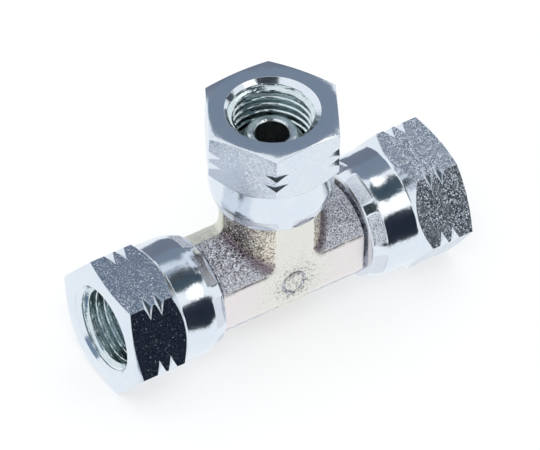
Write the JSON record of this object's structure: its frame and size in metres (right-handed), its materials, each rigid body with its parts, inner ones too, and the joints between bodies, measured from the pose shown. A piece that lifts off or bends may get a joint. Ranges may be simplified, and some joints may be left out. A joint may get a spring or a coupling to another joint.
{
  "type": "swivel tee fitting",
  "caption": "Forged tee with a crimped-on hexagon swivel nut on each equal arm; female parallel pipe thread over a cone nose.",
  "frame": {"origin": "middle of the bounding box's bottom, straight below the point where the axes of the three arms cross, which is at z = 10.27 mm", "axes": "+X along the run towards the right nut, +Z along the branch, +Y towards the back flat"},
  "size_m": [0.0586, 0.0218, 0.0396],
  "materials": {
    "forged_zinc": "zinc-plated drop forging, rough on the round arms and smoother on the two flats",
    "bright_zinc": "bright, smooth bluish zinc plating over machined steel"
  },
  "bodies": {
    "tee": {"tee_body": "forged_zinc"},
    "left_swivel": {"left_nut": "bright_zinc"},
    "right_swivel": {"right_nut": "bright_zinc"},
    "branch_swivel": {"branch_nut": "bright_zinc"}
  },
  "joints": [
    {"name": "left_nut_swivel", "type": "hinge", "parent": "tee", "child": "left_swivel", "pos_m": [0, 0, 0.01027], "axis": [-1, 0, 0], "continuous": true},
    {"name": "right_nut_swivel", "type": "hinge", "parent": "tee", "child": "right_swivel", "pos_m": [0, 0, 0.01027], "axis": [1, 0, 0], "continuous": true},
    {"name": "branch_nut_swivel", "type": "hinge", "parent": "tee", "child": "branch_swivel", "pos_m": [0, 0, 0.01027], "axis": [0, 0, 1], "continuous": true}
  ]
}
